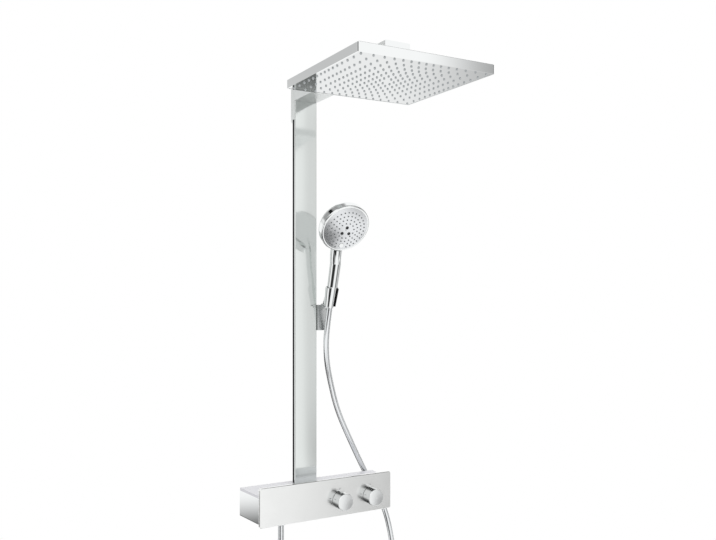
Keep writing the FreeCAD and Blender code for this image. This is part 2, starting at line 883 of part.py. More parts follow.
def make_arm():
    body = new_body("shower_arm")
    half = d.panel_width / 2
    front_y = arm_end_y + d.cap_thick
    side = outline(new_sketch(body, "YZ_Plane"), [
        (leg_back_y, leg_bottom), (leg_back_y, arm_top), (front_y, arm_top), (front_y, d.arm_underside),
        (panel_back_y, d.arm_underside), (panel_back_y, leg_bottom),
    ])
    solid = pad(body, side, d.panel_width, both_sides=True)
    long_edges = soften(body, solid, lambda edge: runs_along("Y")(edge)
                        and edge.Length > d.head_size.value / 2, d.arm_edge)
    soften(body, long_edges, lambda edge: runs_along("X")(edge) and lies_at("Z", arm_top)(edge)
           and lies_at("Y", leg_back_y)(edge), d.arm_edge)
    tunnel = rectangle(new_sketch(body, "XZ_Plane", -front_y), d.arm_wall - half, arm_inside_bottom,
                       half - d.arm_wall, arm_top - d.arm_wall)
    pocket(body, tunnel, leg_back_y - d.arm_wall - front_y)
    riser = circle(new_sketch(body, "XY_Plane", leg_bottom), 0, pipe_y, d.pipe_radius)
    pocket(body, riser, arm_inside_bottom - leg_bottom, reverse=True)
    drop = circle(new_sketch(body, "XY_Plane", d.arm_underside), 0, head_y, d.head_nipple_radius)
    pocket(body, drop, d.arm_wall, reverse=True)
    heads = new_sketch(body, "XZ_Plane", -panel_back_y)
    shanks = new_sketch(body, "XZ_Plane", -panel_back_y)
    for x in (-d.arm_bolt_spacing / 2, d.arm_bolt_spacing / 2):
        circle(heads, x, bracket_z, d.bolt_head_radius + d.bolt_fit)
        circle(shanks, x, bracket_z, d.arm_bolt_radius + d.bolt_fit)
    pocket(body, heads, d.bolt_head_height)
    pocket_through(body, shanks)


def make_arm_end_cap():
    body = new_body("arm_end_cap", y=arm_end_y)
    half = d.panel_width / 2
    face = rectangle(new_sketch(body, "XZ_Plane"), -half, d.arm_underside, half, arm_top)
    plate = pad(body, face, d.cap_thick, reverse=True)
    soften(body, plate, runs_along("Y"), d.arm_edge)
    inset = d.arm_wall + d.seat_gap
    plug = rectangle(new_sketch(body, "XZ_Plane"), inset - half, d.arm_underside + inset, half - inset,
                     arm_top - inset)
    pad(body, plug, d.cap_thick + d.cap_plug, reverse=True)


def make_arm_waterway():
    low = arm_inside_bottom
    high = low + d.elbow_height
    middle = low + d.elbow_height / 2
    half = d.elbow_width / 2
    elbow_back = leg_back_y - d.arm_wall - d.seat_gap
    elbow_front = elbow_back - d.elbow_length
    pipe_start = elbow_front + d.pipe_socket / 2
    feed_back = head_y + d.feed_length / 2
    feed_front = head_y - d.feed_length / 2
    pipe_end = feed_back - d.pipe_socket / 2
    elbow = block("elbow_block", (-half, elbow_front, low), (half, elbow_back, high))
    cut("arm_elbow", elbow, [
        rod("elbow_socket", d.pipe_radius, d.pipe_socket, (0, pipe_y, low), "z"),
        rod("elbow_mouth", d.pipe_radius, d.pipe_socket / 2, (0, pipe_start, middle), "-y"),
        rod("elbow_channel", d.pipe_bore, pipe_y - elbow_front, (0, pipe_y, middle), "-y"),
    ])
    tube("arm_pipe", d.pipe_radius, d.pipe_bore, pipe_start - pipe_end, (0, pipe_start, middle), "-y")
    wide = d.feed_width / 2
    feed = block("feed_form", (-wide, feed_front, low), (wide, feed_back, high))
    cut("head_feed_block", feed, [
        rod("feed_mouth", d.pipe_radius, d.pipe_socket / 2, (0, feed_back, middle), "-y"),
        rod("feed_channel", d.pipe_bore, d.feed_length / 2, (0, feed_back, middle), "-y"),
        rod("feed_socket", d.head_nipple_radius, d.elbow_height / 2, (0, head_y, low), "z"),
    ])
    nipple_low = head_top - d.head_roof
    tube("head_nipple", d.head_nipple_radius, d.nipple_bore, middle - nipple_low,
         (0, head_y, nipple_low), "z")
    tube("head_collar", d.collar_radius, d.head_nipple_radius + d.head_nipple_gap, d.head_gap,
         (0, head_y, head_top), "z")


def make_bracket():
    body = new_body("wall_bracket")
    half = d.flange_width / 2
    middle = (leg_bottom + arm_top) / 2
    rise = d.flange_height / 2
    face = rectangle(new_sketch(body, "XZ_Plane"), -half, middle - rise, half, middle + rise)
    flange = pad(body, face, d.flange_thick)
    soften(body, flange, runs_along("Y"), d.flange_corner)
    half = d.bracket_width / 2
    foot = d.bracket_foot / 2
    boss = outline(new_sketch(body, "XY_Plane", bracket_z - d.bracket_height / 2),
                   [(-foot, 0), (-half, leg_back_y), (half, leg_back_y), (foot, 0)])
    pad(body, boss, d.bracket_height)
    holes = new_sketch(body, "XZ_Plane")
    recesses = new_sketch(body, "XZ_Plane", d.screw_grip)
    for z in (middle - d.flange_hole_spacing / 2, middle + d.flange_hole_spacing / 2):
        circle(holes, 0, z, d.flange_hole_radius)
        circle(recesses, 0, z, d.screw_recess_radius)
    pocket_through(body, holes, reverse=True)
    pocket_through(body, recesses, reverse=True)
    bolts = new_sketch(body, "XZ_Plane", -leg_back_y)
    for x in (-d.arm_bolt_spacing / 2, d.arm_bolt_spacing / 2):
        circle(bolts, x, bracket_z, d.arm_bolt_radius)
    bolt_reach = d.arm_bolt_length + d.bolt_head_height - d.leg_depth
    pocket(body, bolts, bolt_reach)

    screws = []
    for index, x in enumerate((-d.arm_bolt_spacing / 2, d.arm_bolt_spacing / 2)):
        head = rod("bolt_head_%d" % index, d.bolt_head_radius, d.bolt_head_height,
                   (x, panel_back_y, bracket_z), "y")
        shank = rod("bolt_shank_%d" % index, d.arm_bolt_radius, d.arm_bolt_length + d.bolt_head_height,
                    (x, panel_back_y, bracket_z), "y")
        screws.append(fuse("arm_bolt_%d" % index, [head, shank]))
    group("arm_bolts", screws)


# Overhead shower

def make_head():
    half = d.head_size / 2
    body = new_body("head_housing", y=head_y, z=head_underside)
    face = rectangle(new_sketch(body, "XY_Plane"), -half, -half, half, half)
    slab = pad(body, face, d.head_height)
    rounded = soften(body, slab, runs_along("Z"), d.head_corner)
    soften(body, rounded, lies_at("Z", d.head_height), d.head_edge)
    room = half - d.head_wall
    inside = rectangle(new_sketch(body, "XY_Plane"), -room, -room, room, room)
    pocket(body, inside, d.head_height - d.head_roof, reverse=True)
    hole = circle(new_sketch(body, "XY_Plane"), 0, 0, d.head_nipple_radius)
    pocket_through(body, hole, reverse=True)

    body = new_body("spray_plate", y=head_y, z=spray_face_z)
    edge = spray_plate_edge
    face = rectangle(new_sketch(body, "XY_Plane"), -edge, -edge, edge, edge)
    pad(body, face, d.spray_plate_thick)

    gasket_z = spray_face_z + d.spray_plate_thick
    rim = spray_plate_edge
    opening = rim - d.gasket_width
    top = gasket_z + d.gasket_thick
    frame = block("gasket_form", (-rim, head_y - rim, gasket_z), (rim, head_y + rim, top))
    cut("head_gasket", frame, [
        block("gasket_window", (-opening, head_y - opening, gasket_z), (opening, head_y + opening, top)),
    ])


def nozzle(root, tip, height, spot, direction):
    """A small faceted cone frustum that stands on spot and points along direction."""
    turn = FreeCAD.Rotation(Vector(0, 0, 1), direction)
    rings = []
    for radius, rise in ((root, 0), (tip, height)):
        corners = []
        for side in range(NOZZLE_SIDES):
            angle = math.tau * side / NOZZLE_SIDES
            corner = Vector(radius * math.cos(angle), radius * math.sin(angle), rise)
            corners.append(turn.multVec(corner) + spot)
        rings.append(corners)
    low, high = rings
    outlines = [low[::-1], high]
    for side in range(NOZZLE_SIDES):
        following = (side + 1) % NOZZLE_SIDES
        outlines.append([low[side], low[following], high[following], high[side]])
    faces = [Part.Face(Part.makePolygon(corners + corners[:1])) for corners in outlines]
    return Part.Solid(Part.Shell(faces))


def make_spray_nozzles():
    rows = int(d.nozzle_rows.value)
    steps = range(-rows, rows + 1)
    reach = (spray_plate_edge - d.nozzle_border).value
    pitch = reach / rows - d.nozzle_spread.value * rows ** 2
    places = {step: pitch * step + d.nozzle_spread.value * step ** 3 for step in steps}
    solids = []
    for across in steps:
        for along in steps:
            if across == 0 and along == 0:
                continue
            spot = Vector(places[across], head_y.value + places[along], spray_face_z.value)
            solids.append(nozzle(d.nozzle_root.value, d.nozzle_tip.value, d.nozzle_height.value, spot,
                                 Vector(0, 0, -1)))
    item = doc.addObject("Part::Feature", "spray_nozzles")
    item.Shape = Part.makeCompound(solids)


# Holder

def lean(thing):
    """Sets a piece of the holder or the handset on the leaning axis, with its foot at the sleeve's foot."""
    thing.Placement = FreeCAD.Placement(Vector(), FreeCAD.Rotation(Vector(1, 0, 0), d.holder_lean.value))
    bind_place(thing, holder_x, holder_y, holder_z)
    bind(thing, "Placement.Rotation.Angle", d.holder_lean)
    return thing


def make_slider():
    body = new_body("slider_block", z=d.slider_bottom)
    right = slider_left + d.slider_width
    face = rectangle(new_sketch(body, "XY_Plane"), slider_left, slider_front_y, right, carrier_back_y)
    main = pad(body, face, d.slider_height)
    soften(body, main, lambda edge: runs_along("Z")(edge) and not lies_at("X", slider_left)(edge),
           d.slider_edge)
    near = panel_back_y + d.groove_setback + d.tongue_gap
    far = near + d.groove_width - 2 * d.tongue_gap
    bed = d.carrier_width / 2 - d.groove_depth + d.tongue_gap
    tongue = rectangle(new_sketch(body, "XY_Plane"), bed, near, right - d.slider_edge, far)
    pad(body, tongue, d.slider_height)
    middle = slider_left + d.slider_width / 2
    half = d.release_width / 2 + d.release_fit
    low = d.release_rise - d.release_fit
    window = rectangle(new_sketch(body, "XZ_Plane", -slider_front_y), middle - half, low, middle + half,
                       low + d.release_height + 2 * d.release_fit)
    pocket(body, window, 2 * d.release_depth)
    make_ears(body)

    half = d.release_width / 2
    body = new_body("slider_button", y=slider_front_y - d.release_proud, z=d.slider_bottom)
    face = rectangle(new_sketch(body, "XZ_Plane"), middle - half, d.release_rise, middle + half,
                     d.release_rise + d.release_height)
    key = pad(body, face, d.release_depth + d.release_proud, reverse=True)
    soften(body, key, lies_at("Y", as_size(0)), d.release_proud / 2)


def make_ears(body):
    rise = pivot_z - d.slider_bottom
    reach = d.knuckle_radius
    inner = d.knuckle_width / 2 + d.ear_gap
    back = slider_front_y + d.slider_edge
    for side in (-1, 1):
        start = holder_x + side * (inner + d.ear_thick / 2)
        ear = outline(new_sketch(body, "YZ_Plane", start), [
            (back, rise - 2 * reach), (back, d.slider_height - d.slider_edge),
            (pivot_y, rise + reach, reach), (pivot_y - reach, rise, reach), (pivot_y, rise - reach),
        ])
        pad(body, ear, d.ear_thick, both_sides=True)
    bore = circle(new_sketch(body, "YZ_Plane", slider_left), pivot_y, rise, d.pin_radius)
    pocket_through(body, bore, reverse=True)


def make_holder():
    cone = d.liner_gap + d.liner_wall
    low_in = d.cone_bottom + cone_slope * d.cone_drop + cone
    high_in = low_in + cone_slope * d.sleeve_length
    body = lean(new_body("holder_sleeve"))
    outside = outline(new_sketch(body, "YZ_Plane"), [
        (0, 0), (low_in + d.sleeve_wall, 0), (high_in + d.sleeve_wall, d.sleeve_length),
        (0, d.sleeve_length)])
    revolve(body, outside)
    reach = d.knuckle_radius
    back = d.pivot_back
    low = -d.pivot_drop
    fin = outline(new_sketch(body, "YZ_Plane"), [
        (back - reach, low, reach), (back, low - reach, reach), (back + reach, low),
        (high_in + d.sleeve_wall / 2, d.fin_top), (0, d.fin_top), (0, 0),
    ])
    pad(body, fin, d.knuckle_width, both_sides=True)
    inside = outline(new_sketch(body, "YZ_Plane"), [
        (0, 2 * low), (low_in + 2 * low * cone_slope, 2 * low), (high_in, d.sleeve_length),
        (0, d.sleeve_length)])
    revolve(body, inside, "Groove")
    slot = rectangle(new_sketch(body, "XZ_Plane"), -d.sleeve_slot / 2, 0, d.sleeve_slot / 2, d.sleeve_length)
    pocket_through(body, slot, reverse=True)
    bore = circle(new_sketch(body, "YZ_Plane", -d.knuckle_width), back, low, d.pin_radius + d.pin_fit)
    pocket_through(body, bore, reverse=True)

    body = lean(new_body("sleeve_liner"))
    wall = d.liner_wall
    ring = outline(new_sketch(body, "YZ_Plane"), [
        (low_in - wall, 0), (low_in, 0), (high_in, d.sleeve_length), (high_in - wall, d.sleeve_length)])
    revolve(body, ring)
    slot = rectangle(new_sketch(body, "XZ_Plane"), -d.liner_slot / 2, 0, d.liner_slot / 2, d.sleeve_length)
    pocket_through(body, slot, reverse=True)

    half = d.knuckle_width / 2 + d.ear_gap + d.ear_thick
    rod("holder_pin", d.pin_radius, 2 * half, (holder_x - half, pivot_y, pivot_z), "x")


# Handset, along the same leaning axis

def face_sketch(body):
    """A sketch across the middle of the spray head, with its vertical axis pointing out of the back."""
    sketch = new_sketch(body, "YZ_Plane")
    turn = FreeCAD.Rotation(Vector(0, 0, -1), 90 - d.face_tilt.value)
    sketch.AttachmentOffset = FreeCAD.Placement(Vector(), turn)
    bind(sketch, "AttachmentOffset.Base.x", -d.face_front)
    bind(sketch, "AttachmentOffset.Base.y", handle_z + d.face_rise)
    bind(sketch, "AttachmentOffset.Rotation.Angle", 90 - d.face_tilt)
    return sketch


def make_handset_shell():
    body = lean(new_body("handset_shell"))
    top = handle_z + d.handle_length
    handle = outline(new_sketch(body, "YZ_Plane"), [
        (0, handle_z), (d.handle_bottom, handle_z), (d.handle_top, top), (0, top)])
    revolve(body, handle)
    loft(body, [
        circle(new_sketch(body, "XY_Plane", top), 0, 0, d.handle_top),
        circle(new_sketch(body, "XY_Plane", handle_z + d.neck_height), 0, d.neck_back, d.neck_radius),
        circle(new_sketch(body, "XY_Plane", handle_z + d.root_height), 0, -d.root_front, d.root_radius),
    ])
    back_flat = d.rim_radius - d.back_edge
    back = outline(face_sketch(body), [
        (0, d.face_thick), (d.face_radius, d.face_thick), (d.face_radius, d.rim_depth),
        (d.rim_radius, d.rim_depth), (d.rim_radius, d.back_depth - d.back_edge, d.back_edge),
        (back_flat, d.back_depth, dome_radius(back_flat, d.back_crown)), (0, d.back_depth + d.back_crown),
    ])
    revolve(body, back)
    seat = d.rim_radius + d.rim_gap
    front = outline(face_sketch(body), [
        (0, -d.back_depth), (seat, -d.back_depth), (seat, d.rim_depth), (d.face_radius, d.rim_depth),
        (d.face_radius, d.face_thick), (0, d.face_thick)])
    revolve(body, front, "Groove")
    chamber = d.face_radius - d.chamber_wall
    room = outline(face_sketch(body), [
        (0, 0), (chamber, 0), (chamber, d.chamber_depth), (0, d.chamber_depth)])
    revolve(body, room, "Groove")
    nipple = outline(new_sketch(body, "YZ_Plane"), [
        (0, handle_z - d.socket_length), (d.nipple_radius, handle_z - d.socket_length),
        (d.nipple_radius, handle_z), (0, handle_z)])
    revolve(body, nipple)
    channel = circle(new_sketch(body, "XY_Plane", handle_z - d.socket_length), 0, 0, d.waterway_radius)
    pocket(body, channel, d.waterway_length, reverse=True)

    body = lean(new_body("handset_waterway"))
    ring = new_sketch(body, "XY_Plane", handle_z - d.socket_length)
    circle(ring, 0, 0, d.waterway_radius)
    circle(ring, 0, 0, d.waterway_bore)
    pad(body, ring, d.waterway_length)


def make_handset_head():
    body = lean(new_body("handset_rim"))
    inner = d.face_radius + d.rim_gap
    ring = outline(face_sketch(body), [
        (inner, 0), (d.rim_radius - d.rim_edge, 0, d.rim_edge), (d.rim_radius, d.rim_edge),
        (d.rim_radius, d.rim_depth), (inner, d.rim_depth)])
    revolve(body, ring)

    body = lean(new_body("handset_face"))
    disc = outline(face_sketch(body), [
        (0, -d.face_crown, face_dome), (d.face_radius, 0), (d.face_radius, d.face_thick), (0, d.face_thick)])
    revolve(body, disc)
    hole = outline(select_sketch(body), [
        (0, -d.face_crown), (d.select_radius + d.select_fit, -d.face_crown),
        (d.select_radius + d.select_fit, 2 * d.face_thick), (0, 2 * d.face_thick)])
    revolve(body, hole, "Groove")

    body = lean(new_body("select_button"))
    cap = outline(select_sketch(body), [
        (0, -d.select_proud), (d.select_radius - d.select_edge, -d.select_proud, d.select_edge),
        (d.select_radius, d.select_edge - d.select_proud), (d.select_radius, d.select_length),
        (0, d.select_length)])
    revolve(body, cap)


def select_sketch(body):
    """The same cut through the spray head, moved down its face to the select button."""
    sketch = face_sketch(body)
    bind(sketch, "AttachmentOffset.Base.x", d.select_drop * sine(d.face_tilt) - d.face_front)
    bind(sketch, "AttachmentOffset.Base.y", handle_z + d.face_rise - d.select_drop * cosine(d.face_tilt))
    return sketch


def on_face(across, up):
    """A point of the domed spray face in the handset's own axes, and the way that the face looks there."""
    tilt = math.radians(d.face_tilt.value)
    outward = Vector(0, -math.cos(tilt), -math.sin(tilt))
    upward = Vector(0, -math.sin(tilt), math.cos(tilt))
    centre = Vector(0, -d.face_front.value, (handle_z + d.face_rise).value)
    dome_centre = centre + outward * (d.face_crown - face_dome).value
    height = math.sqrt(face_dome.value ** 2 - across ** 2 - up ** 2)
    looks = (Vector(across, 0, 0) + upward * up + outward * height).normalize()
    return dome_centre + looks * face_dome.value, looks


def leaning_placement():
    turn = FreeCAD.Rotation(Vector(1, 0, 0), d.holder_lean.value)
    return FreeCAD.Placement(Vector(holder_x.value, holder_y.value, holder_z.value), turn)


def make_handset_nozzles():
    solids = []
    keep_clear = d.select_radius.value + d.select_fit.value + d.spray_root.value
    for ring, count in enumerate(SPRAY_RING_COUNTS):
        radius = d.spray_first_ring.value + ring * d.spray_ring_pitch.value
        for ray in range(count):
            angle = math.tau * (ray + 0.5) / count
            across = radius * math.sin(angle)
            up = radius * math.cos(angle) - d.spray_drop.value
            if math.hypot(across, up + d.select_drop.value) < keep_clear:
                continue
            spot, outward = on_face(across, up)
            solids.append(nozzle(d.spray_root.value, d.spray_tip.value, d.spray_height.value, spot, outward))
    item = doc.addObject("Part::Feature", "handset_nozzles")
    item.Shape = Part.makeCompound(solids)
    item.Placement = leaning_placement()

    jets = []
    for index in range(JET_COUNT):
        angle = math.tau * index / JET_COUNT
        up = d.jet_ring.value * math.cos(angle) - d.jet_drop.value
        spot, outward = on_face(d.jet_ring.value * math.sin(angle), up)
        jets.append(Part.makeCylinder(d.jet_radius.value, d.jet_proud.value, spot, outward))
    item = doc.addObject("Part::Feature", "handset_jets")
    item.Shape = Part.makeCompound(jets)
    item.Placement = leaning_placement()


def make_cone_nut():
    low = -d.cone_drop
    body = lean(new_body("hose_cone_nut"))
    cone = outline(new_sketch(body, "YZ_Plane"), [
        (0, low), (d.cone_bottom, low), (d.cone_top, handle_z), (0, handle_z)])
    revolve(body, cone)
    socket = circle(new_sketch(body, "XY_Plane", washer_z), 0, 0, d.nipple_radius)
    pocket(body, socket, handle_z - washer_z, reverse=True)
    channel = circle(new_sketch(body, "XY_Plane", low), 0, 0, d.washer_bore)
    pocket_through(body, channel, reverse=True)

    body = lean(new_body("hose_washer_upper"))
    ring = new_sketch(body, "XY_Plane", washer_z)
    circle(ring, 0, 0, d.nipple_radius)
    circle(ring, 0, 0, d.washer_bore)
    pad(body, ring, d.washer_thick)


# Hose: straight runs joined by tangent arcs

def hose_runs():
    """The straight runs of the hose's middle line, each with the arc after it, and the bend radii."""
    points = [Vector(*point) for stretch in HOSE_ROUTE.values() for point in stretch]
    runs = []
    radii = []
    start = points[0]
    for before, corner, after in zip(points, points[1:], points[2:]):
        inward = (corner - before).normalize()
        outward = (after - corner).normalize()
        turn = inward.getAngle(outward)
        reach = RUN_SHARE * min((corner - before).Length, (after - corner).Length)
        radius = reach / math.tan(turn / 2)
        arc_start = corner - inward * reach
        arc_end = corner + outward * reach
        to_centre = (outward - inward).normalize()
        middle = corner + to_centre * (radius / math.cos(turn / 2) - radius)
        runs.append((start, arc_start, Part.Arc(arc_start, middle, arc_end).toShape()))
        radii.append(radius)
        start = arc_end
    runs.append((start, points[-1], None))
    return runs, radii


def make_hose():
    runs, radii = hose_runs()
    print("hose bend radii", [round(radius) for radius in radii])
    stretch_of_point = [name for name, points in HOSE_ROUTE.items() for point in points]
    edges = {name: [] for name in HOSE_ROUTE}
    for (start, end, arc), name, following in zip(runs, stretch_of_point, stretch_of_point[1:]):
        if following != name:
            middle = (start + end) / 2
            edges[name].append(Part.LineSegment(start, middle).toShape())
            start = middle
        edges[following].append(Part.LineSegment(start, end).toShape())
        if arc:
            edges[following].append(arc)
    lengths = [sweep_hose(name, edges[name]) for name in HOSE_ROUTE]
    print("hose length", round(sum(lengths), 1))


def sweep_hose(name, edges):
    path = Part.Wire(edges)
    start = edges[0].Vertexes[0].Point
    heading = edges[0].tangentAt(edges[0].FirstParameter)
    radius = d.hose_radius.value
    section = Part.Wire(Part.makeCircle(radius, start, heading))
    solid = path.makePipeShell([section], True, False)
    expected = math.pi * radius ** 2 * path.Length
    print(name, "volume over section times length", round(solid.Volume / expected, 4))
    item = doc.addObject("Part::Feature", name)
    item.Shape = solid
    return path.Length


NODES = [
    "front_plate", "tablet_casing", "rear_cover", "shelf_panel", "valve_block", "inlet_unions", "union_nuts",
    "inlet_filters", "check_valves", "wall_rosettes", "thermostat_cartridge", "diverter_cartridge",
    "cartridge_nuts", "temperature_spindle", "diverter_spindle", "temperature_knob", "diverter_knob",
    "safety_button", "outlet_nipple", "hose_washer_lower", "hose_nut_lower",
    "column_panel", "column_carrier", "riser_pipe", "pipe_clips",
    "shower_arm", "arm_end_cap", "arm_elbow", "arm_pipe", "head_feed_block", "head_nipple", "head_collar",
    "wall_bracket", "arm_bolts", "head_housing", "spray_plate", "head_gasket", "spray_nozzles",
    "slider_block", "slider_button", "holder_sleeve", "sleeve_liner", "holder_pin",
    "handset_shell", "handset_waterway", "handset_rim", "handset_face", "select_button", "handset_nozzles",
    "handset_jets", "hose_cone_nut", "hose_washer_upper",
    "hose_at_handset", "hose_at_holder", "hose_hanging", "hose_to_outlet",
]


def write_parts():
    doc.recompute()
    for item in doc.Objects:
        if "Invalid" in item.State or "Error" in item.State:
            raise RuntimeError("%s did not build: %s" % (item.Name, item.State))
    os.makedirs("parts", exist_ok=True)
    shapes = {name: doc.getObject(name).Shape for name in NODES}
    for name, shape in shapes.items():
        if shape.isNull() or not shape.isValid() or not shape.Solids:
            raise RuntimeError("%s has no valid solid" % name)
    for name, shape in shapes.items():
        shape.exportStep("parts/%s.step" % name)
    print(len(shapes), "parts written")


make_front_plate()
make_casing()
make_rear_cover()
make_shelf()
make_valve_block()
make_inlets()
make_cartridge("thermostat_cartridge", temperature_x)
make_cartridge("diverter_cartridge", diverter_x)
make_cartridge_nuts()
make_knobs()
make_outlet()
make_column()
make_arm()
make_arm_end_cap()
make_arm_waterway()
make_bracket()
make_head()
make_spray_nozzles()
make_slider()
make_holder()
make_handset_shell()
make_handset_head()
make_handset_nozzles()
make_cone_nut()
make_hose()
write_parts()
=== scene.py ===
import math

import bmesh
import bpy
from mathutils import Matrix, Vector


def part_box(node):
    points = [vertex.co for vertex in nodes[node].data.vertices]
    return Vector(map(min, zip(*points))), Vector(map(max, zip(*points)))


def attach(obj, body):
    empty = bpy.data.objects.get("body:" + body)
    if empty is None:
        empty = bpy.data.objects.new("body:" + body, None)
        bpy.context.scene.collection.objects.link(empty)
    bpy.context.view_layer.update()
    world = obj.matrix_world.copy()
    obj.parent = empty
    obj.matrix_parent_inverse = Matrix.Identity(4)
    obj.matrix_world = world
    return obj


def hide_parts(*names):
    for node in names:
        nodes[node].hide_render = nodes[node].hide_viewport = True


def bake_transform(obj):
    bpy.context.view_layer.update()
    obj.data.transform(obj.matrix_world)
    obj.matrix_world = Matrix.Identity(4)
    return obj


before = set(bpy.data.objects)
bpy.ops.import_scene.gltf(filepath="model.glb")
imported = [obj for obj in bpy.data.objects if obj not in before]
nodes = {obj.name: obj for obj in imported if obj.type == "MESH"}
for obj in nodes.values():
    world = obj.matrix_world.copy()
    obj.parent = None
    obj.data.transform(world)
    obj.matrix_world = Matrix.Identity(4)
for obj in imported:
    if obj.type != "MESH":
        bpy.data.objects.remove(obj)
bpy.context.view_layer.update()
print("frame loaded:", len(nodes), "nodes")

mm = 0.001


# Helpers

def addMesh(name, bm):
    mesh = bpy.data.meshes.new(name)
    bm.to_mesh(mesh)
    bm.free()
    piece = bpy.data.objects.new(name, mesh)
    bpy.context.scene.collection.objects.link(piece)
    return piece


def setInputs(tree, item, inputs):
    # a dict by name or number of the socket, or values in the sockets' own order
    pairs = inputs.items() if isinstance(inputs, dict) else enumerate(inputs)
    for key, value in pairs:
        if isinstance(value, bpy.types.NodeSocket):
            tree.links.new(value, item.inputs[key])
        else:
            item.inputs[key].default_value = value


def addNode(tree, kind, inputs=(), **settings):
    item = tree.nodes.new("ShaderNode" + kind)
    for name, value in settings.items():
        setattr(item, name, value)
    setInputs(tree, item, inputs)
    return item


def hexColour(text):
    # sRGB hex to the linear values that shaders read
    channels = [int(text[i:i + 2], 16) / 255 for i in (0, 2, 4)]
    linear = [c / 12.92 if c <= 0.04045 else ((c + 0.055) / 1.055) ** 2.4 for c in channels]
    return (*linear, 1.0)


# Materials

grainNoise = {
    "roughness": 0.55,
    # roughness runs over this part of the noise
    "low": 0.3,
    "high": 0.7,
}


def newMaterial(name):
    material = bpy.data.materials.new(name)
    material.use_nodes = True
    tree = material.node_tree
    return material, tree, tree.nodes["Principled BSDF"]


def grained(name, colour, metallic, roughness, grainMm, detail=2.0, stretch=(1, 1, 1),
            bumpMm=0.0, bumpStrength=1.0):
    # colour and roughness are each one value, or a pair that the grain runs between
    material, tree, shader = newMaterial(name)
    looks = {"Metallic": metallic}
    place = addNode(tree, "TexCoord").outputs["Object"]
    stretched = addNode(tree, "Mapping", {"Vector": place, "Scale": stretch}).outputs["Vector"]
    # one cell of the noise is about grainMm across
    grain = addNode(tree, "TexNoise", {
        "Vector": stretched, "Scale": 1 / (grainMm * mm), "Detail": detail,
        "Roughness": grainNoise["roughness"]}).outputs["Fac"]
    if isinstance(colour, tuple):
        dark, light = map(hexColour, colour)
        # in a colour mix, 0 is the share, 6 and 7 are the colours, and output 2 is the result
        mixed = addNode(tree, "Mix", {0: grain, 6: dark, 7: light}, data_type="RGBA")
        looks["Base Color"] = mixed.outputs[2]
    else:
        looks["Base Color"] = hexColour(colour)
    if isinstance(roughness, tuple):
        smooth, rough = roughness
        looks["Roughness"] = addNode(tree, "MapRange", {
            "Value": grain, "From Min": grainNoise["low"], "From Max": grainNoise["high"],
            "To Min": smooth, "To Max": rough}).outputs["Result"]
    else:
        looks["Roughness"] = roughness
    if bumpMm:
        looks["Normal"] = addNode(tree, "Bump", {
            "Height": grain, "Distance": bumpMm * mm, "Strength": bumpStrength}).outputs["Normal"]
    setInputs(tree, shader, looks)
    return material


def bathChrome():
    # chrome on brass sheet: bright, with the polishing haze that blurs what it mirrors
    return grained("bathChrome", "FDFEFD", metallic=1.0, roughness=(0.22, 0.26), grainMm=35, detail=3.0)


def platedAbs():
    # chrome on moulded ABS: a mirror over the faint waves that moulding leaves
    return grained("platedAbs", "F5F7F7", metallic=1.0, roughness=(0.03, 0.05), grainMm=14, detail=1.0,
                   bumpMm=0.01, bumpStrength=0.15)


knobFace = {
    "depth": 1.6 * mm,
    "edge": 1.0 * mm,
    "sideRoughness": 0.04,
    "faceRoughness": 0.32,
}


def satinKnob():
    # plated knobs: polished round the side, satin on the slightly crowned face
    material, tree, shader = newMaterial("satinKnob")
    place = addNode(tree, "TexCoord").outputs["Object"]
    depth = addNode(tree, "SeparateXYZ", {"Vector": place}).outputs["Y"]
    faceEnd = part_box("temperature_knob")[0][1] + knobFace["depth"]
    satin = addNode(tree, "MapRange", {
        "Value": depth, "From Min": faceEnd + knobFace["edge"], "From Max": faceEnd,
        "To Min": knobFace["sideRoughness"], "To Max": knobFace["faceRoughness"]}).outputs["Result"]
    setInputs(tree, shader, {"Base Color": hexColour("F5F7F7"), "Metallic": 1.0, "Roughness": satin})
    return material


def brightPanel():
    # bright anodised aluminium: cool light grey, a soft mirror over drawing hairlines
    return grained("brightPanel", ("E7EBE9", "EBEFED"), metallic=0.9, roughness=(0.08, 0.12), grainMm=1.2,
                   stretch=(1, 1, 0.01))


def paleShelf():
    # lacquered shelf top: cool white under a soft gloss, with the faint mottle of sprayed lacquer
    return grained("paleShelf", ("F2F2F7", "F4F4F9"), metallic=0.0, roughness=(0.22, 0.28), grainMm=18)


def blackAnodised():
    # black anodised aluminium: a dull charcoal with a faint sheen along the drawing lines
    return grained("blackAnodised", ("2E2E2F", "363637"), metallic=0.0, roughness=(0.55, 0.65), grainMm=0.8,
                   stretch=(1, 1, 0.01))


def satinArm():
    # satin chrome over a brushed extrusion: bright and soft, with fine lines along its length
    return grained("satinArm", "E6E9E8", metallic=0.8, roughness=(0.31, 0.39), grainMm=0.9,
                   stretch=(1, 0.01, 1))


def dullChrome():
    # satin chrome on cast zinc: mid grey with a soft sheen and the mottle of the blasted skin
    return grained("dullChrome", ("BEC0C0", "D4D6D6"), metallic=1.0, roughness=(0.22, 0.34), grainMm=4)


def mirrorSteel():
    # polished stainless sheet: a mirror with the slight ripple of rolled metal
    return grained("mirrorSteel", "E4E6E6", metallic=1.0, roughness=(0.04, 0.07), grainMm=45, detail=1.0,
                   bumpMm=0.02, bumpStrength=0.2)


def greySilicone():
    # moulded silicone: soft, slightly dusty grey
    return grained("greySilicone", ("D9DDDF", "E5E9EB"), metallic=0.0, roughness=0.5, grainMm=1.5,
                   bumpMm=0.05, bumpStrength=0.3)


def slateSilicone():
    # the handset's softer nozzles, moulded in a darker grey
    return grained("slateSilicone", ("76797B", "878B8D"), metallic=0.0, roughness=0.45, grainMm=0.8,
                   bumpMm=0.03, bumpStrength=0.3)


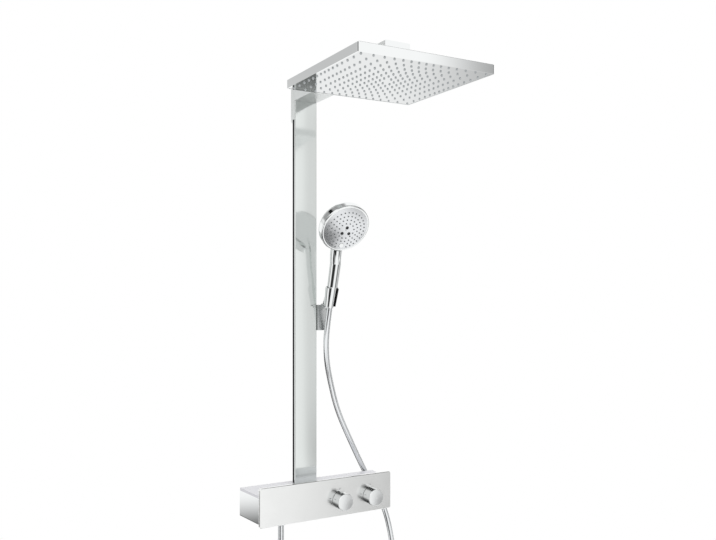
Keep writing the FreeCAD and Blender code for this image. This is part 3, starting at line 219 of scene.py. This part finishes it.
def silverFace():
    # ABS with a satin silver finish: pale, with a broad soft gloss
    return grained("silverFace", "F2F4F6", metallic=0.75, roughness=(0.17, 0.24), grainMm=0.7,
                   bumpMm=0.01, bumpStrength=0.15)


def darkJet():
    # glossy dark grey ABS jets
    return grained("darkJet", ("1B1D1F", "27292B"), metallic=0.0, roughness=0.2, grainMm=0.8)


def castBrass():
    # sand-cast and turned brass: warm metal with a grainy skin
    return grained("castBrass", ("B78F4B", "D6B36C"), metallic=1.0, roughness=(0.28, 0.45), grainMm=1.1,
                   detail=4.0, bumpMm=0.08, bumpStrength=0.4)


def platedBrass():
    # chrome on turned brass: a mirror with fine turning marks
    return grained("platedBrass", "E4E6E7", metallic=1.0, roughness=(0.06, 0.13), grainMm=0.8)


def drawnCopper():
    # drawn copper pipe: reddish metal, dulled in patches by handling
    return grained("drawnCopper", ("B0744F", "D79C79"), metallic=1.0, roughness=(0.2, 0.4), grainMm=18,
                   detail=4.0)


def blackRubber():
    # moulded rubber: flat black with a dusty bloom
    return grained("blackRubber", ("141414", "262626"), metallic=0.0, roughness=0.75, grainMm=2.5,
                   detail=3.0, bumpMm=0.05, bumpStrength=0.3)


def blackAbs():
    # black ABS with a spark-eroded grain of half a millimetre
    return grained("blackAbs", ("121213", "1D1D1E"), metallic=0.0, roughness=0.5, grainMm=0.5,
                   bumpMm=0.03, bumpStrength=0.4)


def greyAcetal():
    # machined acetal: waxy mid grey
    return grained("greyAcetal", ("808385", "949799"), metallic=0.0, roughness=0.4, grainMm=6, detail=3.0)


def zincSteel():
    # bright zinc plated steel: cool grey with a faint spangle
    return grained("zincSteel", ("A9ACAE", "C8CBCD"), metallic=1.0, roughness=(0.24, 0.38), grainMm=2.0,
                   detail=3.0)


def printedMark():
    # grey ink printed on chrome
    return grained("printedMark", ("74787A", "84888A"), metallic=0.0, roughness=0.5, grainMm=0.4)


# Hose: one NURBS line along the route, cut into stretches that take the place of the hose nodes

hose = {
    "radius": 7 * mm,
    "sides": 24,
    "steps": 21,
    "splineOrder": 3,
    "foilTurnsPerMetre": 400,
    "foilColours": ("ECEFF1", "F4F6F7"),
    "metallic": 0.95,
    "roughness": 0.14,
    "coatWeight": 0.5,
    "coatRoughness": 0.05,
    "route": [
        (0.046, -0.0936, 0.4511), (0.046, -0.0826, 0.4126), (0.049, -0.0675, 0.3655),
        (0.060, -0.0505, 0.316), (0.079, -0.0335, 0.2645), (0.1055, -0.019, 0.191),
        (0.1455, -0.014, 0.111), (0.189, -0.012, 0.027), (0.2205, -0.0115, -0.026),
        (0.249, -0.015, -0.077), (0.2635, -0.026, -0.1575), (0.263, -0.037, -0.240),
        (0.248, -0.046, -0.320), (0.214, -0.053, -0.393), (0.158, -0.058, -0.446),
        (0.092, -0.062, -0.468), (0.026, -0.065, -0.446), (-0.028, -0.067, -0.393),
        (-0.058, -0.068, -0.320), (-0.069, -0.068, -0.240), (-0.0695, -0.068, -0.150),
        (-0.069, -0.068, -0.058),
    ],
    # name, runs of the line before its end, the bodies at its two ends
    "stretches": [
        ("hose_at_handset", 2, "handset", "holder"),
        ("hose_at_holder", 4, "holder", "slider"),
        ("hose_hanging", 14, "slider", "root"),
        ("hose_to_outlet", 20, "root", None),
    ],
}

wavesPerUnit = 20 / math.tau  # of the wave texture at scale 1


def silverHose():
    # clear PVC over a metallised foil: silver under a smooth gloss, with the fine turns of the foil
    material, tree, shader = newMaterial("silverHose")
    along = addNode(tree, "UVMap", uv_map="alongHose").outputs["UV"]
    turns = addNode(tree, "TexWave", {
        "Vector": along, "Scale": hose["foilTurnsPerMetre"] / wavesPerUnit, "Distortion": 0.0},
        bands_direction="Y").outputs["Fac"]
    dark, light = map(hexColour, hose["foilColours"])
    foil = addNode(tree, "Mix", {0: turns, 6: dark, 7: light}, data_type="RGBA").outputs[2]
    setInputs(tree, shader, {
        "Base Color": foil, "Metallic": hose["metallic"], "Roughness": hose["roughness"],
        "Coat Weight": hose["coatWeight"], "Coat Roughness": hose["coatRoughness"]})
    return material


def splinePoints(route, steps, order):
    curve = bpy.data.curves.new("hoseLine", "CURVE")
    curve.dimensions = "3D"
    curve.resolution_u = steps
    spline = curve.splines.new("NURBS")
    spline.points.add(len(route) - 1)
    for point, place in zip(spline.points, route):
        point.co = (*place, 1.0)
    spline.order_u = order
    spline.use_endpoint_u = True
    carrier = bpy.data.objects.new("hoseLine", curve)
    line = bpy.data.meshes.new_from_object(carrier)
    points = [vertex.co.copy() for vertex in line.vertices]
    bpy.data.objects.remove(carrier)
    bpy.data.curves.remove(curve)
    bpy.data.meshes.remove(line)
    return points


def tubeAlong(name, line, start, end, radius, sides):
    # the rings at both ends turn with the whole line, so that stretches meet without a seam
    bm = bmesh.new()
    along = bm.loops.layers.uv.new("alongHose")
    points = line[start:end + 1]
    heading = (points[1] - points[0]).normalized()
    side = heading.orthogonal().normalized()
    rings = []
    travelled = [0.0]
    for index, point in enumerate(points):
        before = line[max(start + index - 1, 0)]
        after = line[min(start + index + 1, len(line) - 1)]
        newHeading = (after - before).normalized()
        side = heading.rotation_difference(newHeading) @ side
        heading = newHeading
        other = heading.cross(side)
        ring = []
        for step in range(sides):
            angle = math.tau * step / sides
            ring.append(bm.verts.new(point + radius * (math.cos(angle) * side + math.sin(angle) * other)))
        rings.append(ring)
        if index:
            travelled.append(travelled[-1] + (point - points[index - 1]).length)
    for index in range(len(rings) - 1):
        for step in range(sides):
            following = (step + 1) % sides
            face = bm.faces.new((rings[index][step], rings[index][following],
                                 rings[index + 1][following], rings[index + 1][step]))
            face.smooth = True
            for loop, (turn, reach) in zip(face.loops, ((step, index), (step + 1, index),
                                                        (step + 1, index + 1), (step, index + 1))):
                loop[along].uv = (turn / sides, travelled[reach])
    # sharp edges keep the flat caps out of the tube's shading
    for cap in (rings[0][::-1], rings[-1]):
        for edge in bm.faces.new(cap).edges:
            edge.smooth = False
    return addMesh(name, bm), travelled[-1]


def makeHose(material):
    points = splinePoints(hose["route"], hose["steps"], hose["splineOrder"])
    lastRun = hose["stretches"][-1][1]
    start = 0
    total = 0.0
    for node, runs, fromBody, toBody in hose["stretches"]:
        end = round(runs / lastRun * (len(points) - 1))
        piece, length = tubeAlong(node + "Tube", points, start, end, hose["radius"], hose["sides"])
        piece.data.materials.append(material)
        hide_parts(node)
        if toBody:
            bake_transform(piece)
        else:
            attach(piece, fromBody)
        total += length
        start = end
    print("hose made, %.3f m" % total)


# Scale marks round the two knobs, printed on the front plate

marks = {
    "knobs": ["temperature_knob", "diverter_knob"],
    "angles": [167, 90, 18],
    "fromAxis": 26 * mm,
    "length": 4.5 * mm,
    "width": 1.5 * mm,
    "inkHeight": 0.12 * mm,
    "endSteps": 6,
}


def addMark(bm, axisPoint, degrees):
    # a short bar with round ends that points at the knob's axis
    angle = math.radians(degrees)
    outward = Vector((math.cos(angle), 0, math.sin(angle)))
    across = Vector((-math.sin(angle), 0, math.cos(angle)))
    endRadius = marks["width"] / 2
    straight = marks["length"] / 2 - endRadius
    corners = []
    for end in (1, -1):
        middle = axisPoint + outward * (marks["fromAxis"] + end * straight)
        reach = end * endRadius
        for step in range(marks["endSteps"] + 1):
            turn = math.pi * step / marks["endSteps"] - math.pi / 2
            corner = middle + outward * reach * math.cos(turn) + across * reach * math.sin(turn)
            corners.append(bm.verts.new(corner))
    face = bm.faces.new(corners)
    raised = bmesh.ops.extrude_face_region(bm, geom=[face])
    bmesh.ops.translate(bm, vec=(0, -marks["inkHeight"], 0),
                        verts=[item for item in raised["geom"] if isinstance(item, bmesh.types.BMVert)])


def makeMarks(material):
    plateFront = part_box("front_plate")[0][1]
    bm = bmesh.new()
    for knob in marks["knobs"]:
        low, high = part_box(knob)
        axisPoint = Vector(((low[0] + high[0]) / 2, plateFront, (low[2] + high[2]) / 2))
        for degrees in marks["angles"]:
            addMark(bm, axisPoint, degrees)
    bmesh.ops.recalc_face_normals(bm, faces=bm.faces)
    piece = addMesh("scaleMarks", bm)
    piece.data.materials.append(material)
    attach(piece, "root")
    print("scale marks made")


# Studio

photoView = {
    "place": (-0.815, -1.752, 0.5025),
    "tilt": 90,
    "yaw": -29.51,
    "sensorMm": 36,
    "lensMm": 39.38,
    "shiftUp": 0.0218,
}


def makeCamera():
    camera = bpy.data.cameras.new("photoCamera")
    camera.sensor_width = photoView["sensorMm"]
    camera.lens = photoView["lensMm"]
    camera.shift_y = photoView["shiftUp"]
    item = bpy.data.objects.new("photoCamera", camera)
    item.location = photoView["place"]
    item.rotation_euler = (math.radians(photoView["tilt"]), 0, math.radians(photoView["yaw"]))
    bpy.context.scene.collection.objects.link(item)
    bpy.context.scene.camera = item


studio = {
    "diffuseLevel": 0.6,
    # soft dark fields of the studio, in degrees: azimuth from the front towards the right, elevation,
    # half widths across and up, softness across and up, then the brightness left in the middle
    "fields": {
        "rightHigh": (52, 24, 14.8, 10, 3.2, 0.5, 0.38),
        "rightLow": (47.5, -23.5, 19, 12, 5, 7, 0.25),
        "column": (40, 0.3, 15.5, 13, 3, 0.6, 0.77),
        "rightEdge": (88, 0, 9, 45, 4, 4, 0.05),
        "leftEdge": (-120, 0, 6, 20, 4, 4, 0.05),
        "hoseEdge": (-122, -42, 16, 16, 6, 6, 0.05),
        "headCorner": (-95, 16, 28, 8, 4, 4, 0.05),
        "leftBackHigh": (-154, 24, 11, 12, 4, 4, 0.57),
        "leftBackLow": (-153, -32, 14, 16, 1.4, 1.4, 0.08),
        "handleLine": (-52, -24.5, 33, 7.5, 10, 4, 0.03),
        "neckLine": (-68, -6, 14, 12, 6, 5, 0.05),
        "neckBend": (-44, -9, 15, 9, 6, 4, 0.3),
        "plateLine": (60, 62, 45, 14, 4, 4, 0.0),
        "face": (-2, -78, 57, 21, 15, 5, 0.03),
        "faceLeft": (0, -58, 22, 8, 6, 4, 0.1),
        "below": (0, -86, 190, 21, 1, 4, 0.05),
        "rimSpot": (-131, 49, 12, 6, 3, 3, 0.02),
        "rimLeft": (-134, 34, 9, 14, 3, 4, 0.35),
        "rimBack": (-140, 61, 14, 7, 4, 3, 0.35),
        "rimTop": (0, 75, 190, 8, 1, 4, 0.35),
        "rimRight": (58, 20, 12, 24, 4, 4, 0.25),
        "backRight": (129, -15, 14, 14, 6, 6, 0.42),
    },
    # the same for what is mirrored a second time, past this glossy depth
    "innerDepth": 1.5,
    "innerFields": {
        "left": (-85, 0, 95, 100, 4, 1, 0.68),
        "backRight": (115, 0, 68, 100, 4, 1, 0.68),
        "right": (28, -20.3, 14, 7, 5, 0.6, 0.05),
        "low": (-12, -40, 32, 18, 5, 4, 0.0),
        "high": (28, 33, 32, 17, 5, 1, 0.0),
    },
}


def lightLeft(tree, azimuth, elevation, fields):
    # the share of the white studio that the dark fields leave in each direction
    level = 1.0
    for azimuthAt, elevationAt, halfAcross, halfUp, softAcross, softUp, left in fields.values():
        cover = 1.0
        for angle, middle, half, soft in ((azimuth, azimuthAt, halfAcross, softAcross),
                                          (elevation, elevationAt, halfUp, softUp)):
            offset = addNode(tree, "Math", (angle, middle), operation="SUBTRACT").outputs[0]
            away = addNode(tree, "Math", (offset,), operation="ABSOLUTE").outputs[0]
            fade = addNode(tree, "MapRange", {
                "Value": away, "From Min": half - soft, "From Max": half + soft,
                "To Min": 1.0, "To Max": 0.0}, interpolation_type="SMOOTHSTEP").outputs["Result"]
            cover = addNode(tree, "Math", (cover, fade), operation="MULTIPLY").outputs[0]
        kept = addNode(tree, "Math", (cover, left - 1.0, 1.0), operation="MULTIPLY_ADD").outputs[0]
        level = addNode(tree, "Math", (level, kept), operation="MULTIPLY").outputs[0]
    return level


def makeWorld():
    world = bpy.data.worlds.new("studio")
    bpy.context.scene.world = world
    world.use_nodes = True
    tree = world.node_tree
    tree.nodes.clear()
    place = addNode(tree, "TexCoord").outputs["Generated"]
    ray = addNode(tree, "SeparateXYZ", {"Vector": place}).outputs
    toFront = addNode(tree, "Math", (ray["Y"], -1.0), operation="MULTIPLY").outputs[0]
    around = addNode(tree, "Math", (ray["X"], toFront), operation="ARCTAN2").outputs[0]
    azimuth = addNode(tree, "Math", (around,), operation="DEGREES").outputs[0]
    rise = addNode(tree, "Math", (ray["Z"],), operation="ARCSINE").outputs[0]
    elevation = addNode(tree, "Math", (rise,), operation="DEGREES").outputs[0]
    first = lightLeft(tree, azimuth, elevation, studio["fields"])
    second = lightLeft(tree, azimuth, elevation, studio["innerFields"])
    path = addNode(tree, "LightPath").outputs
    depth = path["Glossy Depth"]
    again = addNode(tree, "Math", (depth, studio["innerDepth"]), operation="GREATER_THAN").outputs[0]
    # in a plain mix, 0 is the share, 2 and 3 are the values
    level = addNode(tree, "Mix", {0: again, 2: first, 3: second}).outputs[0]
    seen = addNode(tree, "Math", (path["Is Camera Ray"], path["Is Transmission Ray"]),
                   operation="ADD").outputs[0]
    shown = addNode(tree, "Math", (path["Is Glossy Ray"], level, seen), operation="MULTIPLY_ADD").outputs[0]
    strength = addNode(tree, "Math", (path["Is Diffuse Ray"], studio["diffuseLevel"], shown),
                       operation="MULTIPLY_ADD", use_clamp=True).outputs[0]
    background = addNode(tree, "Background", {"Color": (1, 1, 1, 1), "Strength": strength})
    addNode(tree, "OutputWorld", {"Surface": background.outputs["Background"]})


studioFloor = {
    "middle": (0.05, -0.2, -0.56),
    "size": 1.1,
}


def makeFloor():
    bm = bmesh.new()
    bmesh.ops.create_grid(bm, x_segments=1, y_segments=1, size=studioFloor["size"] / 2)
    bmesh.ops.translate(bm, verts=bm.verts, vec=studioFloor["middle"])
    floor = addMesh("studioFloor", bm)
    # matt pale board with a fine grain
    board = grained("studioFloor", ("EAEAE9", "F0F0EF"), metallic=0.0, roughness=0.8, grainMm=3.0)
    floor.data.materials.append(board)
    floor.visible_glossy = False


softBoxes = {
    "aim": (0, -0.2, 0.4),
    # name, place, side in metres, watts
    "boxes": [
        ("keySoftBox", (-1.2, -1.6, 1.9), 1.4, 14),
        ("fillSoftBox", (1.5, -1.2, 1.0), 1.2, 6),
    ],
}


def addSoftBox(name, place, side, watts):
    light = bpy.data.lights.new(name, "AREA")
    light.shape = "RECTANGLE"
    light.size = side
    light.size_y = side
    light.energy = watts
    item = bpy.data.objects.new(name, light)
    item.location = place
    item.rotation_euler = (Vector(softBoxes["aim"]) - Vector(place)).to_track_quat("-Z", "Y").to_euler()
    item.visible_glossy = False
    item.visible_camera = False
    bpy.context.scene.collection.objects.link(item)


# Finish of every carried-over node

finishes = {
    bathChrome: ["front_plate"],
    paleShelf: ["shelf_panel"],
    satinKnob: ["temperature_knob", "diverter_knob"],
    platedAbs: ["tablet_casing", "wall_rosettes", "safety_button", "arm_end_cap", "head_collar",
                "head_housing", "holder_sleeve", "handset_shell", "handset_rim", "select_button",
                "hose_cone_nut"],
    dullChrome: ["slider_block", "slider_button"],
    brightPanel: ["column_panel"],
    blackAnodised: ["column_carrier"],
    satinArm: ["shower_arm", "wall_bracket"],
    mirrorSteel: ["spray_plate"],
    greySilicone: ["spray_nozzles"],
    slateSilicone: ["handset_nozzles"],
    silverFace: ["handset_face"],
    darkJet: ["handset_jets"],
    castBrass: ["valve_block", "arm_elbow", "head_feed_block", "cartridge_nuts", "temperature_spindle",
                "diverter_spindle"],
    platedBrass: ["inlet_unions", "union_nuts", "outlet_nipple", "hose_nut_lower", "head_nipple"],
    drawnCopper: ["riser_pipe", "arm_pipe"],
    blackRubber: ["inlet_filters", "hose_washer_lower", "hose_washer_upper", "head_gasket"],
    blackAbs: ["rear_cover", "pipe_clips", "sleeve_liner"],
    greyAcetal: ["check_valves", "thermostat_cartridge", "diverter_cartridge", "handset_waterway"],
    zincSteel: ["arm_bolts", "holder_pin"],
}

for makeFinish, wearers in finishes.items():
    material = makeFinish()
    for name in wearers:
        for materialSlot in nodes[name].material_slots:
            materialSlot.material = material
print("finishes set:", len(finishes))

makeCamera()
makeHose(silverHose())
makeMarks(printedMark())
makeWorld()
makeFloor()
for box in softBoxes["boxes"]:
    addSoftBox(*box)
print("studio set")

bpy.context.scene.view_settings.view_transform = "Standard"
